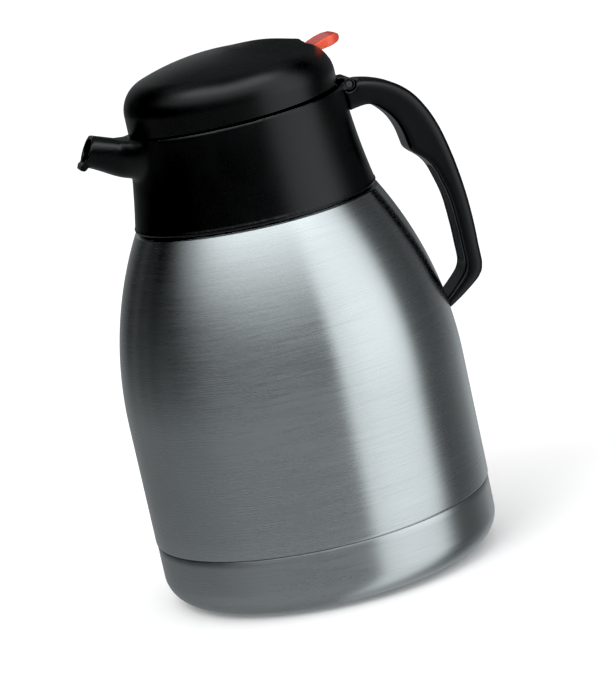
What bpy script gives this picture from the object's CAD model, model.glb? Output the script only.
import math

import bmesh
import bpy
import numpy as np
from mathutils import Matrix, Vector


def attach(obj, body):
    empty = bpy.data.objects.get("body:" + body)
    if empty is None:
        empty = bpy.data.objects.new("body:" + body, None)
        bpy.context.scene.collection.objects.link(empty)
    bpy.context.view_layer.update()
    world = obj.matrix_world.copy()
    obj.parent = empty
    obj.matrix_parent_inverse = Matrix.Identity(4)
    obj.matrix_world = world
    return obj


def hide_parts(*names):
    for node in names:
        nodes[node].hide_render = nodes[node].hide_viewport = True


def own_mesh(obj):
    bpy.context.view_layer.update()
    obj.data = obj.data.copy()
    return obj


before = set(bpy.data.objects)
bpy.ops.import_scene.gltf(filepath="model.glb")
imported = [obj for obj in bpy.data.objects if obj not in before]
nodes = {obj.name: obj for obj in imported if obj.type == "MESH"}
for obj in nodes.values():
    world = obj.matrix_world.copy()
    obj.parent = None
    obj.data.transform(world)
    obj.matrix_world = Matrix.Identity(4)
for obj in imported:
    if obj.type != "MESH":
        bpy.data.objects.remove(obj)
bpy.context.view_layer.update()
scene = bpy.context.scene
MM = 0.001

# ---------------------------------------------------------------- camera
# The photograph's view: a little from the spout's side, 10.9 degrees up, and rolled
# so that the carafe leans to the left.
AZIMUTH = math.radians(-10.0)
ELEVATION = math.radians(10.9)
ROLL = math.radians(12.49)
DISTANCE = 1.55
right = Vector((math.cos(AZIMUTH), math.sin(AZIMUTH), 0.0))
back = Vector((
    math.sin(AZIMUTH) * math.cos(ELEVATION),
    -math.cos(AZIMUTH) * math.cos(ELEVATION),
    math.sin(ELEVATION),
))
up = back.cross(right)
middle = Vector((0.0, 0.0, 0.135))
eye = middle + back * DISTANCE
aim = middle + right * 0.0101 - up * 0.0265

camera = bpy.data.objects.new("camera", bpy.data.cameras.new("camera"))
scene.collection.objects.link(camera)
scene.camera = camera
camera.data.sensor_width = 36.0
camera.data.lens = 175.25
camera.data.clip_start = 0.05
camera.data.clip_end = 60.0
look = (eye - aim).normalized()
side = up.cross(look).normalized()
over = look.cross(side)
cam_right = side * math.cos(ROLL) - over * math.sin(ROLL)
cam_up = side * math.sin(ROLL) + over * math.cos(ROLL)
turn = Matrix((cam_right, cam_up, look)).transposed()
camera.matrix_world = Matrix.Translation(eye) @ turn.to_4x4()


# ---------------------------------------------------------------- mesh tools
def add_piece(name, mesh, body, material, sharp=35.0):
    """Puts a mesh in the scene as a smooth piece that rides on a body."""
    for polygon in mesh.polygons:
        polygon.use_smooth = True
    mesh.set_sharp_from_angle(angle=math.radians(sharp))
    mesh.materials.clear()
    mesh.materials.append(material)
    piece = bpy.data.objects.new(name, mesh)
    scene.collection.objects.link(piece)
    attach(piece, body)
    return piece


def closed_mesh(name, verts, faces):
    """A mesh from points in metres, with its faces turned outwards."""
    mesh = bpy.data.meshes.new(name)
    mesh.from_pydata(verts, [], faces)
    mesh.update()
    tidy = bmesh.new()
    tidy.from_mesh(mesh)
    bmesh.ops.recalc_face_normals(tidy, faces=tidy.faces)
    tidy.to_mesh(mesh)
    tidy.free()
    return mesh


def revolved(name, profile, steps):
    """A closed ring of revolution about Z from a closed outline of (radius, height) in mm."""
    count = len(profile)
    verts = []
    for i in range(steps):
        a = 2 * math.pi * i / steps
        for r, z in profile:
            verts.append((r * math.cos(a) * MM, r * math.sin(a) * MM, z * MM))
    faces = []
    for i in range(steps):
        j = (i + 1) % steps
        for k in range(count):
            m = (k + 1) % count
            faces.append((i * count + k, j * count + k, j * count + m, i * count + m))
    return closed_mesh(name, verts, faces)


def soft_copy(name, node, voxel):
    """A CAD node's form with its facets and edges softened, as a moulding has them."""
    source = nodes[node].data.copy()
    weld = bmesh.new()
    weld.from_mesh(source)
    bmesh.ops.remove_doubles(weld, verts=weld.verts, dist=2e-6)
    weld.to_mesh(source)
    weld.free()
    holder = bpy.data.objects.new(name + "_source", source)
    scene.collection.objects.link(holder)
    grid = holder.modifiers.new("grid", "REMESH")
    grid.mode = "VOXEL"
    grid.voxel_size = voxel * MM
    grid.adaptivity = 0.0
    depsgraph = bpy.context.evaluated_depsgraph_get()
    mesh = bpy.data.meshes.new_from_object(holder.evaluated_get(depsgraph))
    bpy.data.objects.remove(holder)
    mesh.name = name
    count = len(mesh.vertices)
    co = np.empty(count * 3)
    mesh.vertices.foreach_get("co", co)
    co = co.reshape(-1, 3) / MM
    pairs = np.empty(len(mesh.edges) * 2, dtype=np.int64)
    mesh.edges.foreach_get("vertices", pairs)
    pairs = pairs.reshape(-1, 2)
    degree = np.bincount(pairs.ravel(), minlength=count).astype(float)
    return mesh, co, pairs, degree


def relax(co, pairs, degree, passes, weight=None, shrink=True):
    """Evens out the points; with shrink off it keeps the volume."""
    for step in range(passes):
        total = np.zeros_like(co)
        for axis in range(3):
            total[:, axis] = (
                np.bincount(pairs[:, 0], co[pairs[:, 1], axis], len(co))
                + np.bincount(pairs[:, 1], co[pairs[:, 0], axis], len(co))
            )
        move = total / degree[:, None] - co
        share = 0.5 if (shrink or step % 2 == 0) else -0.52
        if weight is not None:
            move = move * weight[:, None]
        co = co + share * move
    return co


def pushed(co, pushes, spread=1e6):
    """Moves points in soft humps: middle x and z, direction in degrees up from +X, depth, and
    reach across and along that direction. Spread is the reach in Y."""
    x, y, z = co.T.copy()
    for at_x, at_z, turn, depth, across, along in pushes:
        dx = math.cos(math.radians(turn))
        dz = math.sin(math.radians(turn))
        u = ((x - at_x) * dx + (z - at_z) * dz) / along
        v = ((x - at_x) * dz - (z - at_z) * dx) / across
        push = depth * np.exp(-u ** 2 - v ** 2 - (y / spread) ** 2)
        co[:, 0] += push * dx
        co[:, 2] += push * dz
    return co


def store(mesh, co):
    mesh.vertices.foreach_set("co", (co * MM).ravel())
    mesh.update()
    return mesh


# ---------------------------------------------------------------- materials
def start_material(name, colour, metallic, roughness):
    material = bpy.data.materials.new(name)
    material.use_nodes = True
    tree = material.node_tree
    shader = tree.nodes["Principled BSDF"]
    shader.inputs["Base Color"].default_value = (*colour, 1.0)
    shader.inputs["Metallic"].default_value = metallic
    shader.inputs["Roughness"].default_value = roughness
    return material, tree, shader


def stretched_noise(tree, scale, detail=3.0, rough=0.6):
    """Noise in the piece's own coordinates, with a scale for each axis."""
    place = tree.nodes.new("ShaderNodeTexCoord")
    mapping = tree.nodes.new("ShaderNodeMapping")
    mapping.inputs["Scale"].default_value = scale
    noise = tree.nodes.new("ShaderNodeTexNoise")
    noise.inputs["Scale"].default_value = 1.0
    noise.inputs["Detail"].default_value = detail
    noise.inputs["Roughness"].default_value = rough
    tree.links.new(place.outputs["Object"], mapping.inputs["Vector"])
    tree.links.new(mapping.outputs["Vector"], noise.inputs["Vector"])
    return noise.outputs["Fac"]


def ramp(tree, value, stops):
    made = tree.nodes.new("ShaderNodeValToRGB")
    band = made.color_ramp
    while len(band.elements) < len(stops):
        band.elements.new(0.5)
    for element, (at, colour) in zip(band.elements, stops):
        element.position = at
        if not isinstance(colour, tuple):
            colour = (colour, colour, colour)
        element.color = (*colour, 1.0)
    tree.links.new(value, made.inputs["Fac"])
    return made.outputs["Color"]


def map_to(tree, value, low, high, start=0.3, end=0.7):
    made = tree.nodes.new("ShaderNodeMapRange")
    made.inputs["From Min"].default_value = start
    made.inputs["From Max"].default_value = end
    made.inputs["To Min"].default_value = low
    made.inputs["To Max"].default_value = high
    tree.links.new(value, made.inputs["Value"])
    return made.outputs["Result"]


def maths(tree, operation, a, b=None):
    made = tree.nodes.new("ShaderNodeMath")
    made.operation = operation
    for socket, value in zip(made.inputs, (a, b)):
        if value is None:
            continue
        if isinstance(value, (int, float)):
            socket.default_value = value
        else:
            tree.links.new(value, socket)
    return made.outputs[0]


def bump(tree, shader, height, distance, strength=1.0, before=None):
    made = tree.nodes.new("ShaderNodeBump")
    made.inputs["Strength"].default_value = strength
    made.inputs["Distance"].default_value = distance
    tree.links.new(height, made.inputs["Height"])
    if before is not None:
        tree.links.new(before, made.inputs["Normal"])
    tree.links.new(made.outputs["Normal"], shader.inputs["Normal"])
    return made.outputs["Normal"]


def brushed_steel(name, colour, rough_low, rough_high, aniso):
    """Stainless steel brushed round the Z axis: fine level lines, stretched reflections."""
    material, tree, shader = start_material(name, colour, 1.0, rough_low)
    fine = stretched_noise(tree, (60.0, 60.0, 4200.0), 2.0, 0.7)
    broad = stretched_noise(tree, (30.0, 30.0, 1500.0), 2.0, 0.5)
    cloudy = stretched_noise(tree, (14.0, 14.0, 22.0), 2.0, 0.5)
    lines = maths(tree, "ADD", maths(tree, "MULTIPLY", fine, 0.6), maths(tree, "MULTIPLY", broad, 0.4))
    dark = tuple(c * 0.9 for c in colour)
    light = tuple(min(1.0, c * 1.07) for c in colour)
    tree.links.new(
        ramp(tree, lines, [(0.3, dark), (0.5, colour), (0.7, light)]), shader.inputs["Base Color"]
    )
    rough = maths(
        tree, "ADD", map_to(tree, lines, rough_low, rough_high),
        map_to(tree, cloudy, -0.02, 0.03),
    )
    tree.links.new(rough, shader.inputs["Roughness"])
    shader.inputs["Anisotropic"].default_value = aniso
    shader.inputs["Anisotropic Rotation"].default_value = 0.25
    tangent = tree.nodes.new("ShaderNodeTangent")
    tangent.direction_type = "RADIAL"
    tangent.axis = "Z"
    tree.links.new(tangent.outputs["Tangent"], shader.inputs["Tangent"])
    bump(tree, shader, lines, 0.00002, 0.5)
    return material


def turned_metal(name, colour, rough_low, rough_high, scale):
    """Plain drawn or turned metal with faint marks in every direction."""
    material, tree, shader = start_material(name, colour, 1.0, rough_low)
    marks = stretched_noise(tree, scale, 3.0, 0.6)
    dark = tuple(c * 0.82 for c in colour)
    light = tuple(min(1.0, c * 1.08) for c in colour)
    tree.links.new(ramp(tree, marks, [(0.3, dark), (0.7, light)]), shader.inputs["Base Color"])
    tree.links.new(map_to(tree, marks, rough_low, rough_high), shader.inputs["Roughness"])
    bump(tree, shader, marks, 0.00005, 0.4)
    return material


def moulded_plastic(name, colour, rough_low, rough_high, grain=2600.0, depth=0.00005, specular=0.5):
    """Moulded plastic: a fine spark grain, faint flow clouds and slightly polished rubbed places."""
    material, tree, shader = start_material(name, colour, 0.0, rough_low)
    spark = stretched_noise(tree, (grain, grain, grain), 2.0, 0.6)
    clouds = stretched_noise(tree, (38.0, 38.0, 26.0), 3.0, 0.5)
    dark = tuple(c * 0.85 for c in colour)
    light = tuple(min(1.0, c * 1.18 + 0.001) for c in colour)
    tree.links.new(ramp(tree, clouds, [(0.3, dark), (0.7, light)]), shader.inputs["Base Color"])
    rough = maths(
        tree, "ADD", map_to(tree, clouds, rough_low, rough_high), map_to(tree, spark, -0.03, 0.03)
    )
    tree.links.new(rough, shader.inputs["Roughness"])
    shader.inputs["Specular IOR Level"].default_value = specular
    bump(tree, shader, spark, depth, 0.6)
    return material


STEEL = brushed_steel("brushed_shell_steel", (0.60, 0.635, 0.64), 0.23, 0.30, 0.9)
STEEL_BASE = brushed_steel("brushed_base_steel", (0.57, 0.60, 0.605), 0.25, 0.33, 0.88)
FLASK = turned_metal("flask_steel", (0.66, 0.67, 0.67), 0.2, 0.32, (60.0, 60.0, 500.0))
BRIGHT = turned_metal("bright_steel", (0.68, 0.68, 0.69), 0.14, 0.26, (900.0, 900.0, 900.0))
BURNISHED = turned_metal("burnished_steel", (0.16, 0.16, 0.17), 0.3, 0.42, (900.0, 900.0, 900.0))
GETTER = moulded_plastic("getter_grey", (0.05, 0.05, 0.055), 0.5, 0.65, 1800.0)
BLACK = moulded_plastic("satin_black", (0.0013, 0.0012, 0.0013), 0.26, 0.33, specular=0.42)
BLACK_LID = moulded_plastic("satin_black_lid", (0.0014, 0.0013, 0.0014), 0.25, 0.32, specular=0.42)
BLACK_GRIP = moulded_plastic("satin_black_handle", (0.0018, 0.0017, 0.0022), 0.28, 0.36, specular=0.42)
STOPPER = moulded_plastic("stopper_black", (0.005, 0.005, 0.0055), 0.55, 0.65, specular=0.1)
RUBBER = moulded_plastic("foot_rubber", (0.03, 0.03, 0.032), 0.65, 0.8, 1500.0, 0.0001, 0.3)
GRIP_RUBBER = moulded_plastic("grip_rubber", (0.014, 0.014, 0.016), 0.55, 0.7, 1500.0, 0.0001, 0.4)
SILICONE = moulded_plastic("silicone", (0.62, 0.62, 0.57), 0.4, 0.5, 900.0)
SEAL = moulded_plastic("seal_rubber", (0.03, 0.03, 0.03), 0.55, 0.7, 1500.0)
FOAM = moulded_plastic("dark_foam", (0.012, 0.012, 0.013), 0.8, 0.95, 500.0, 0.0004, 0.1)
NATURAL = moulded_plastic("natural_plastic", (0.7, 0.7, 0.65), 0.38, 0.5, 1200.0)


def red_plastic(name):
    """Clear-looking red-orange plastic: bright inside, deeper where it is seen edge on."""
    material, tree, shader = start_material(name, (0.72, 0.07, 0.03), 0.0, 0.22)
    clouds = stretched_noise(tree, (90.0, 90.0, 90.0), 2.0, 0.5)
    facing = tree.nodes.new("ShaderNodeLayerWeight")
    facing.inputs["Blend"].default_value = 0.35
    body = ramp(tree, facing.outputs["Facing"], [
        (0.0, (0.80, 0.115, 0.05)), (0.75, (0.52, 0.028, 0.016)),
    ])
    mixed = tree.nodes.new("ShaderNodeMixRGB")
    mixed.blend_type = "MULTIPLY"
    mixed.inputs["Fac"].default_value = 0.35
    tree.links.new(body, mixed.inputs["Color1"])
    shade = ramp(tree, clouds, [(0.3, (0.82, 0.8, 0.8)), (0.7, (1.0, 1.0, 1.0))])
    tree.links.new(shade, mixed.inputs["Color2"])
    tree.links.new(mixed.outputs["Color"], shader.inputs["Base Color"])
    tree.links.new(map_to(tree, clouds, 0.2, 0.3), shader.inputs["Roughness"])
    shader.inputs["Subsurface Weight"].default_value = 0.35
    shader.inputs["Subsurface Radius"].default_value = (0.006, 0.0016, 0.0008)
    shader.inputs["Subsurface Scale"].default_value = 1.0
    shader.inputs["Coat Weight"].default_value = 0.3
    shader.inputs["Coat Roughness"].default_value = 0.12
    return material


RED = red_plastic("lever_red")

CARRIED = {
    "inner_flask": FLASK, "shell_bottom": FLASK, "vacuum_seal_cap": FLASK,
    "getter_capsule": GETTER, "foot_pad": RUBBER, "collar_gasket": SILICONE,
    "neck_snap_ring": BRIGHT, "handle_inlay": GRIP_RUBBER, "handle_screws": BRIGHT,
    "foot_bracket": BRIGHT, "foot_screw": BRIGHT, "hinge_pin": BURNISHED,
    "stopper_body": STOPPER, "stopper_gasket": SILICONE, "lid_insulation": FOAM,
    "lid_screws": BRIGHT, "lever_pin": BRIGHT, "valve_stem": NATURAL,
    "valve_seal": SEAL, "stem_cap": NATURAL, "outer_shell": STEEL, "base_cup": STEEL_BASE,
    "collar": BLACK, "handle_grip": BLACK_GRIP, "lid_dome": BLACK_LID,
    "thumb_lever": RED, "valve_spring": BRIGHT,
}
for node, material in CARRIED.items():
    mesh = nodes[node].data
    if len(mesh.materials) == 0:
        mesh.materials.append(material)
    for k in range(len(mesh.materials)):
        mesh.materials[k] = material

# ---------------------------------------------------------------- the steel body
BODY_R = 80.0
SHOULDER_Z = 88.0
SHOULDER_R = 179.0
COLLAR_Z = 175.0
SEAM_Z = 30.0
SHELL_T = 0.9
LIP_Z = 202.0
NECK_R = 39.4
# the rounded lower lip of the shell, above the seam: across and up
SEAM_ROUND = (0.55, 0.9)
SKIN_STEPS = 288


def shell_at(z, inset=0.0):
    if z <= SHOULDER_Z:
        return BODY_R - inset
    return BODY_R - SHOULDER_R + math.sqrt((SHOULDER_R - inset) ** 2 - (z - SHOULDER_Z) ** 2)


def shoulder(inset, low, high, steps):
    return [
        (shell_at(low + (high - low) * i / steps, inset), low + (high - low) * i / steps)
        for i in range(steps + 1)
    ]


def shell_profile():
    skirt = BODY_R - 1.25
    step_r = shell_at(COLLAR_Z) - 1.4
    cone_r = NECK_R + 2.2
    cone_z = LIP_Z - 14.5
    across, rise = SEAM_ROUND
    outside = [(skirt, 16.0), (skirt, SEAM_Z), (BODY_R - across, SEAM_Z)]
    outside += [
        (
            BODY_R - across + across * math.sin(math.radians(a)),
            SEAM_Z + rise - rise * math.cos(math.radians(a)),
        )
        for a in (25, 50, 70, 90)
    ]
    outside += [(BODY_R, z) for z in (40.0, 52.0, 64.0, 76.0)]
    outside += shoulder(0.0, SHOULDER_Z, COLLAR_Z, 48)
    outside += [
        (step_r, COLLAR_Z + 0.5), (cone_r, cone_z), (NECK_R, cone_z + 2.2),
        (NECK_R, LIP_Z - 10.4), (NECK_R + 1.2, LIP_Z - 10.0), (NECK_R + 1.2, LIP_Z - 9.0),
        (NECK_R, LIP_Z - 8.6), (NECK_R, LIP_Z - 0.8),
    ]
    inside = [
        (skirt - SHELL_T, 16.0), (skirt - SHELL_T, SEAM_Z + 0.2), (BODY_R - SHELL_T, SEAM_Z + 1.6),
    ]
    inside += shoulder(SHELL_T, SHOULDER_Z, COLLAR_Z - 1.0, 16)
    inside += [
        (step_r - 0.6, COLLAR_Z - 0.2), (cone_r - 0.6, cone_z - 0.7),
        (NECK_R - SHELL_T, cone_z + 1.8), (NECK_R - SHELL_T, LIP_Z - 0.8),
    ]
    return outside + inside[::-1]


shell_skin = revolved("shell_skin", shell_profile(), SKIN_STEPS)
shell = add_piece("shell_skin", shell_skin, "carafe", STEEL)
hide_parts("outer_shell")

CUP_R = BODY_R - 0.4
BASE_ROUND = 13.0
FOOT_LIFT = 0.8


def cup_profile():
    wall = 0.8
    round_x = CUP_R - BASE_ROUND
    round_z = FOOT_LIFT + BASE_ROUND

    def corner(r):
        return [
            (round_x + r * math.cos(math.radians(a)), round_z + r * math.sin(math.radians(a)))
            for a in range(-90, 1, 5)
        ]

    top = SEAM_Z - 0.4
    outside = [(30.0, 2.5), (60.0, 2.5), (60.3, 2.2), (60.3, 1.2), (60.7, FOOT_LIFT)]
    outside += corner(BASE_ROUND)
    outside += [
        (CUP_R, 20.0), (CUP_R, 26.0), (CUP_R, top - 0.35),
        (CUP_R - 0.15, top - 0.08), (CUP_R - 0.4, top),
    ]
    inside = [(30.0, 2.5 + wall), (61.1, 2.5 + wall), (61.1, FOOT_LIFT + wall)]
    inside += corner(BASE_ROUND - wall)
    inside += [(CUP_R - wall, top)]
    return outside + inside[::-1]


base_skin = revolved("base_skin", cup_profile(), SKIN_STEPS)
cup = add_piece("base_skin", base_skin, "carafe", STEEL_BASE)
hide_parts("base_cup")

# ---------------------------------------------------------------- collar and spout
# a softened point this near to the surface it belongs to is put back on it
SNAP = 0.45
RIM_R = 51.0
RIM_Z = 222.0
RIM_SLOPE = math.tan(math.radians(1.5))
# the rim's small outer chamfer, as height and depth
RIM_CHAMFER = (0.9, 0.5)
# the blend round the spout's root: its middle, on both sides, and its reach in x, y and z
ROOT_AT = (-52.0, 13.0, 210.0)
ROOT_REACH = (6.0, 9.0, 11.0)
# the spout's underside hangs a little lower than the CAD's, see pushed()
SPOUT_PUSHES = ((-61.0, 205.5, -82.0, 1.0, 11.0, 5.0),)
SPOUT_SPREAD = 12.0


def rim_at(x):
    return RIM_Z + x * RIM_SLOPE


def collar_at(z):
    drop = RIM_Z - z
    return RIM_R + 0.055 * drop + 0.0017 * drop * np.maximum(drop, 0.0)


def collar_mesh():
    mesh, co, pairs, degree = soft_copy("collar_shell", "collar", 0.6)
    x, y, z = co.T
    # the spout's root is blended into the collar, the rest keeps its edges
    far = ((x - ROOT_AT[0]) / ROOT_REACH[0]) ** 2
    far = far + ((np.abs(y) - ROOT_AT[1]) / ROOT_REACH[1]) ** 2
    far = far + ((z - ROOT_AT[2]) / ROOT_REACH[2]) ** 2
    root = np.exp(-far)
    rim = np.clip((z - (rim_at(x) - 2.4)) / 1.2, 0.0, 1.0)
    outside = np.hypot(x, y) > collar_at(z) - 1.2
    blend = np.clip(root * 1.5, 0.0, 1.0) * outside * (1.0 - rim)
    co = relax(co, pairs, degree, 8, None, False)
    co = relax(co, pairs, degree, 60, blend)
    x, y, z = co.T
    r = np.hypot(x, y)
    wall = collar_at(z)
    near_spout = (x < -40.0) & (np.abs(y) < 29.0) & (z > LIP_Z - 5.0)
    near_hinge = (x > 42.0) & (np.abs(y) < 13.0)
    on_wall = (np.abs(r - wall) < SNAP) & (z > COLLAR_Z + 3.2) & ~near_spout
    on_wall &= ~near_hinge | (z < rim_at(x) - 1.0)
    # the rim is one clean slanted plane, with a small chamfer outside
    above = (z > LIP_Z) & (x > -46.0) & ~near_hinge & (r > RIM_R - 5.0)
    on_rim = above & (np.abs(z - rim_at(x)) < SNAP)
    z = np.where(on_rim, rim_at(x), z)
    high, deep = RIM_CHAMFER
    cut = np.clip(1.0 - (rim_at(x) - z) / high, 0.0, 1.0) * deep * above
    pull = np.where(on_wall, (wall - cut) / np.maximum(r, 1e-6), 1.0)
    co[:, 0] *= pull
    co[:, 1] *= pull
    co[:, 2] = z
    return store(mesh, pushed(co, SPOUT_PUSHES, SPOUT_SPREAD))


collar = add_piece("collar_shell", collar_mesh(), "carafe", BLACK, 60.0)
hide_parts("collar")

# ---------------------------------------------------------------- lid
DOME_X = -0.6
DOME_R = 49.5
DOME_TOP = 251.0
CROWN_R = 114.0
DOME_ROUND = 14.8
# the lid's lower edge reaches this far in from its side
DOME_WALL = 2.9
# this near to the side, the shoulder is too steep to be told by its height
DOME_STEEP = 5.0
# the gap under the lid, at the middle, and how much it widens with x
LID_GAP = 1.0
LID_GAP_SLOPE = 0.012
# the low swelling in front of the lever: its sphere, its round outline in plan, its blend
SWELL_X = 14.0
SWELL_Z = 196.8
SWELL_R = 54.0
SWELL_MIDDLE = 26.5
SWELL_REACH = 17.0
SWELL_BLEND = 1.6
# outside this radius the swelling sinks back, by this much for each square millimetre
SWELL_END = 40.0
SWELL_SINK = 0.07
# the swelling's full back, beside the lever, see pushed()
LID_PUSHES = ((41.0, 243.0, 75.0, 1.4, 8.0, 8.0),)
LID_SPREAD = 18.0
crown_z = DOME_TOP - CROWN_R
round_x = DOME_R - DOME_ROUND
round_z = crown_z + math.sqrt((CROWN_R - DOME_ROUND) ** 2 - round_x ** 2)
meet = math.atan2(round_z - crown_z, round_x)


def lid_heights(x, y):
    """The lid's top as the CAD cuts it, and with the swelling run smoothly into the crown."""
    r = np.minimum(np.hypot(x - DOME_X, y), DOME_R - 1.0)
    crown = crown_z + np.sqrt(CROWN_R ** 2 - r ** 2)
    edge = np.clip(r - round_x, 0.0, DOME_ROUND)
    bend = round_z + np.sqrt(DOME_ROUND ** 2 - edge ** 2)
    dome = np.where(r < CROWN_R * math.cos(meet), crown, bend)
    swell = SWELL_Z + np.sqrt(np.maximum(SWELL_R ** 2 - (x - SWELL_X) ** 2 - y ** 2, 0.0))
    inside = np.hypot(x - SWELL_MIDDLE, y) < SWELL_REACH
    cut = np.where(inside, np.maximum(dome, swell), dome)
    swell = swell - SWELL_SINK * np.maximum(r - SWELL_END, 0.0) ** 2
    share = np.clip(1.0 - np.abs(dome - swell) / SWELL_BLEND, 0.0, 1.0)
    return cut, np.maximum(dome, swell) + share ** 2 * SWELL_BLEND / 4


def dome_mesh():
    mesh, co, pairs, degree = soft_copy("lid_shell", "lid_dome", 0.6)
    co = relax(co, pairs, degree, 8, None, False)
    x, y, z = co.T
    # the top: crown and swelling, up to where the shoulder turns steep
    cut, smooth = lid_heights(x, y)
    r = np.hypot(x - DOME_X, y)
    on_top = (z > cut - 1.3) & (r < DOME_R - DOME_STEEP)
    skin = on_top & (np.abs(z - cut) < 0.4)
    z = np.where(skin, smooth, np.where(on_top, z + smooth - cut, z))
    # the steep part of the rounded shoulder, and the upright side
    reach = np.hypot(r - round_x, z - round_z)
    on_round = (np.abs(reach - DOME_ROUND) < 0.4) & (z > round_z) & (r >= DOME_R - DOME_STEEP)
    on_side = (np.abs(r - DOME_R) < SNAP) & (z <= round_z)
    new_r = np.where(on_round, round_x + (r - round_x) * DOME_ROUND / reach, r)
    z = np.where(on_round, round_z + (z - round_z) * DOME_ROUND / reach, z)
    # the lower edge is one clean slanted plane
    edge = RIM_Z + LID_GAP + x * (RIM_SLOPE + LID_GAP_SLOPE)
    clear = (x < 40.0) | (np.abs(y) > 9.0)
    on_edge = (np.abs(z - edge) < SNAP) & (r > DOME_R - DOME_WALL) & clear
    on_side &= clear | (z > edge + 2.4)
    z = np.where(on_edge, edge, z)
    new_r = np.where(on_side, DOME_R, new_r)
    scale = new_r / np.maximum(r, 1e-6)
    out = np.column_stack(((x - DOME_X) * scale + DOME_X, y * scale, z))
    return store(mesh, pushed(out, LID_PUSHES, LID_SPREAD))


lid = add_piece("lid_shell", dome_mesh(), "lid", BLACK_LID, 60.0)
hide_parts("lid_dome")


# ---------------------------------------------------------------- handle and lever
# Where the photographed handle lies in or out of the CAD's, see pushed()
HANDLE_PUSHES = (
    (71.0, 198.5, 20.0, 1.6, 11.0, 8.0),
    (82.0, 175.5, 26.0, 1.3, 8.0, 7.0),
    (88.0, 162.0, 14.0, 0.7, 12.0, 6.0),
    (76.0, 216.5, 58.0, 0.9, 15.0, 7.0),
    (92.0, 193.0, 20.0, 0.6, 18.0, 6.0),
)


def handle_mesh():
    mesh, co, pairs, degree = soft_copy("handle_shell", "handle_grip", 0.6)
    co = relax(co, pairs, degree, 30, None, False)
    co = relax(co, pairs, degree, 4)
    return store(mesh, pushed(co, HANDLE_PUSHES))


def inlay_mesh():
    mesh, co, pairs, degree = soft_copy("inlay_shell", "handle_inlay", 0.5)
    co = relax(co, pairs, degree, 16, None, False)
    return store(mesh, pushed(co, HANDLE_PUSHES))


handle = add_piece("handle_shell", handle_mesh(), "carafe", BLACK_GRIP, 70.0)
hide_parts("handle_grip")
inlay = add_piece("inlay_shell", inlay_mesh(), "carafe", GRIP_RUBBER, 60.0)
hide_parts("handle_inlay")


def lever_mesh():
    mesh, co, pairs, degree = soft_copy("lever_shell", "thumb_lever", 0.4)
    co = relax(co, pairs, degree, 14, None, False)
    co = relax(co, pairs, degree, 3)
    return store(mesh, co)


lever = add_piece("lever_shell", lever_mesh(), "lever", RED, 70.0)
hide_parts("thumb_lever")


# ---------------------------------------------------------------- valve spring
def spring_mesh():
    """Round wire in five curls, with closed ends."""
    curls, around, sides = 5, 40, 14
    mean, wire, low, high = 5.4, 0.42, 204.12, 212.78
    count = curls * around
    verts = []
    for i in range(count + 1):
        a = 2 * math.pi * i / around
        z = low + (high - low) * i / count
        for k in range(sides):
            b = 2 * math.pi * k / sides
            r = mean + wire * math.cos(b)
            verts.append((r * math.cos(a) * MM, r * math.sin(a) * MM, (z + wire * math.sin(b)) * MM))
    faces = []
    for i in range(count):
        for k in range(sides):
            m = (k + 1) % sides
            faces.append((i * sides + k, (i + 1) * sides + k, (i + 1) * sides + m, i * sides + m))
    faces.append(tuple(range(sides)))
    faces.append(tuple(count * sides + k for k in reversed(range(sides))))
    return closed_mesh("spring_wire", verts, faces)


spring = add_piece("spring_wire", spring_mesh(), "lid", BRIGHT, 50.0)
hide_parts("valve_spring")
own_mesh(spring)

# ---------------------------------------------------------------- floor, light and world
floor_mesh = bpy.data.meshes.new("floor")
SIDE = 12.0
corners = [(-SIDE, -SIDE, 0), (SIDE, -SIDE, 0), (SIDE, SIDE, 0), (-SIDE, SIDE, 0)]
floor_mesh.from_pydata(corners, [], [(0, 1, 2, 3)])
floor = bpy.data.objects.new("floor", floor_mesh)
scene.collection.objects.link(floor)
floor.location.z = -0.0002
floor_material, _, floor_shader = start_material("floor_white", (0.97, 0.97, 0.97), 0.0, 0.9)
floor_shader.inputs["Specular IOR Level"].default_value = 0.0
floor_mesh.materials.append(floor_material)
floor.visible_glossy = False


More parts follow.
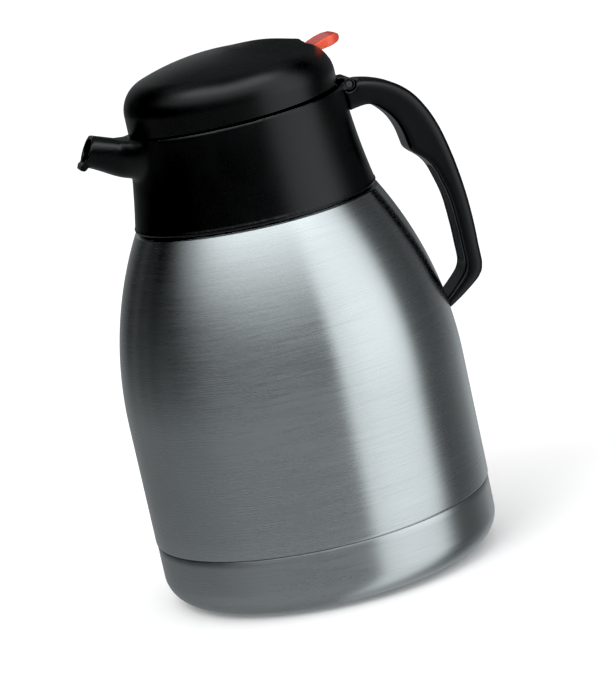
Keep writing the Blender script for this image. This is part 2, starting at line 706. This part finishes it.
def studio_world():
    """Soft white light all round. Glossy surfaces see a studio of broad panels instead."""
    world = bpy.data.worlds.new("studio")
    scene.world = world
    world.use_nodes = True
    tree = world.node_tree
    tree.nodes.clear()
    place = tree.nodes.new("ShaderNodeTexCoord")
    flat_right = Vector((right.x, right.y, 0.0)).normalized()
    flat_back = Vector((back.x, back.y, 0.0)).normalized()

    def along(axis):
        made = tree.nodes.new("ShaderNodeVectorMath")
        made.operation = "DOT_PRODUCT"
        made.inputs[1].default_value = axis
        tree.links.new(place.outputs["Generated"], made.inputs[0])
        return made.outputs["Value"]

    across = along(flat_right)
    toward = along(flat_back)
    height = along((0.0, 0.0, 1.0))
    around = maths(tree, "ARCTAN2", across, toward)
    around = map_to(tree, around, 0.0, 1.0, -math.pi, math.pi)
    rise = map_to(tree, maths(tree, "ARCSINE", height), 0.0, 1.0, -math.pi / 2, math.pi / 2)

    def at(degrees):
        return (degrees + 180.0) / 360.0

    # brightness round the object, at four heights; 0 degrees is towards the camera
    low = ramp(tree, around, [
        (at(-180), 0.30), (at(-155), 0.24), (at(-140), 0.22), (at(-120), 0.24), (at(-103), 0.26),
        (at(-86), 0.28), (at(-60), 0.29), (at(-17), 0.28), (at(27), 0.28), (at(35), 0.90),
        (at(52), 1.0), (at(82), 0.95), (at(93), 0.18), (at(103), 0.09), (at(120), 0.13),
        (at(138), 0.25), (at(155), 0.5), (at(180), 0.4),
    ])
    high = ramp(tree, around, [
        (at(-180), 0.3), (at(-155), 0.12), (at(-140), 0.02), (at(-128), 0.06), (at(-122), 0.01),
        (at(-114), 0.04), (at(-108), 0.005), (at(-96), 0.03), (at(-86), 0.02), (at(-69), 0.05),
        (at(-52), 0.09), (at(-17), 0.10), (at(27), 0.12), (at(35), 0.98), (at(52), 1.3),
        (at(74), 1.42), (at(84), 1.2), (at(94), 0.18), (at(103), 0.11), (at(120), 0.07),
        (at(138), 0.12), (at(155), 0.12), (at(172), 0.05), (at(180), 0.06),
    ])
    top = ramp(tree, around, [
        (at(-180), 0.15), (at(-155), 0.03), (at(-138), 0.002), (at(-108), 0.005), (at(-100), 0.10),
        (at(-83), 0.55), (at(-65), 0.90), (at(-34), 0.97), (at(24), 1.02), (at(52), 1.3),
        (at(74), 1.38), (at(84), 1.05), (at(94), 0.15), (at(103), 0.05), (at(118), 0.015),
        (at(138), 0.08), (at(180), 0.15),
    ])
    zenith = ramp(tree, around, [
        (at(-180), 0.2), (at(-100), 0.3), (at(-70), 2.6), (at(70), 2.6), (at(100), 0.3), (at(180), 0.2),
    ])

    def lift(degrees):
        return (degrees + 90.0) / 180.0

    def blend_between(first, second, start, end):
        made = tree.nodes.new("ShaderNodeMixRGB")
        share = tree.nodes.new("ShaderNodeMapRange")
        share.interpolation_type = "SMOOTHSTEP"
        share.inputs["From Min"].default_value = lift(start)
        share.inputs["From Max"].default_value = lift(end)
        tree.links.new(rise, share.inputs["Value"])
        tree.links.new(share.outputs["Result"], made.inputs["Fac"])
        tree.links.new(first, made.inputs["Color1"])
        tree.links.new(second, made.inputs["Color2"])
        return made.outputs["Color"]

    mixed = blend_between(low, high, -12.0, -3.0)
    mixed = blend_between(mixed, top, 22.0, 36.0)
    mixed = blend_between(mixed, zenith, 46.0, 54.0)
    cap = ramp(tree, rise, [(0.0, 0.12), (1.0, 0.12)])
    mixed = blend_between(mixed, cap, 66.0, 80.0)
    tint = tree.nodes.new("ShaderNodeMixRGB")
    tint.blend_type = "MULTIPLY"
    tint.inputs["Fac"].default_value = 1.0
    tint.inputs["Color2"].default_value = (0.96, 1.0, 1.02, 1.0)
    tree.links.new(mixed, tint.inputs["Color1"])
    panels = tree.nodes.new("ShaderNodeBackground")
    tree.links.new(tint.outputs["Color"], panels.inputs["Color"])
    soft = tree.nodes.new("ShaderNodeBackground")
    soft.inputs["Color"].default_value = (1.0, 1.0, 1.0, 1.0)
    soft.inputs["Strength"].default_value = 1.09
    path = tree.nodes.new("ShaderNodeLightPath")
    choice = tree.nodes.new("ShaderNodeMixShader")
    tree.links.new(path.outputs["Is Glossy Ray"], choice.inputs["Fac"])
    tree.links.new(soft.outputs["Background"], choice.inputs[1])
    tree.links.new(panels.outputs["Background"], choice.inputs[2])
    out = tree.nodes.new("ShaderNodeOutputWorld")
    tree.links.new(choice.outputs["Shader"], out.inputs["Surface"])
    world.cycles.sampling_method = "NONE"


studio_world()


def softbox(name, place, target, width, height, watts, glossy):
    data = bpy.data.lights.new(name, "AREA")
    data.shape = "RECTANGLE"
    data.size = width
    data.size_y = height
    data.energy = watts
    lamp = bpy.data.objects.new(name, data)
    scene.collection.objects.link(lamp)
    lamp.location = place
    lamp.rotation_mode = "QUATERNION"
    lamp.rotation_quaternion = (Vector(target) - Vector(place)).to_track_quat("-Z", "Y")
    lamp.visible_glossy = glossy
    return lamp


softbox("key_light", (-1.1, -0.9, 1.7), (0.0, 0.0, 0.1), 1.2, 1.2, 16.0, False)

scene.view_settings.view_transform = "Standard"
scene.view_settings.look = "None"
scene.view_settings.exposure = 0.0
scene.view_settings.gamma = 1.0
# the photograph's blacks are printed a little deeper than they were
scene.view_settings.use_curve_mapping = True
scene.view_settings.curve_mapping.black_level = (0.006, 0.006, 0.006)
scene.view_settings.curve_mapping.update()
